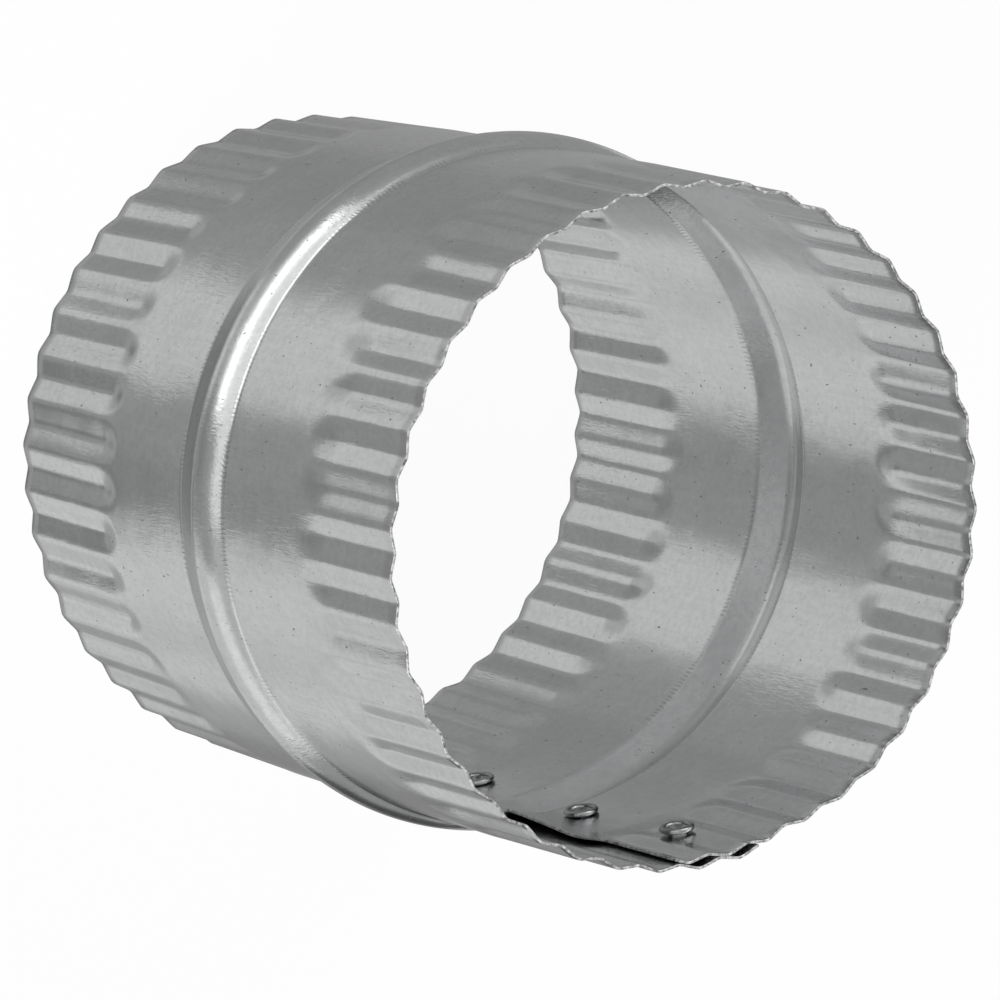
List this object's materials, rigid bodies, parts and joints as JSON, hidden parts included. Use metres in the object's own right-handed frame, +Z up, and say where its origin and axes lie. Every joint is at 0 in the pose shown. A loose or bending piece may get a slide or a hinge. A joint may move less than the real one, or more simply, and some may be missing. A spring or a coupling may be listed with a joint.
{
  "type": "duct connector",
  "caption": "Round sheet-metal duct connector: a rolled, lap-riveted sleeve with a raised stop bead and fluted ends that slip into the ducts it joins.",
  "frame": {"origin": "centre of the lower rim, on the sleeve's axis, at the level it stands on", "axes": "+Z up the sleeve's axis to the upper rim, -Y towards the lap seam, +X across it"},
  "size_m": [0.1054, 0.1054, 0.11],
  "materials": {
    "galvanised_sheet": "satin zinc-coated steel sheet, with fine streaks along its length",
    "rivet_steel": "plain plated steel, shinier and darker than the sheet"
  },
  "bodies": {
    "root": {"sleeve": "galvanised_sheet", "rivet_lower_crimp": "rivet_steel", "rivet_lower_band": "rivet_steel", "rivet_upper_band": "rivet_steel", "rivet_upper_crimp": "rivet_steel"}
  },
  "joints": []
}
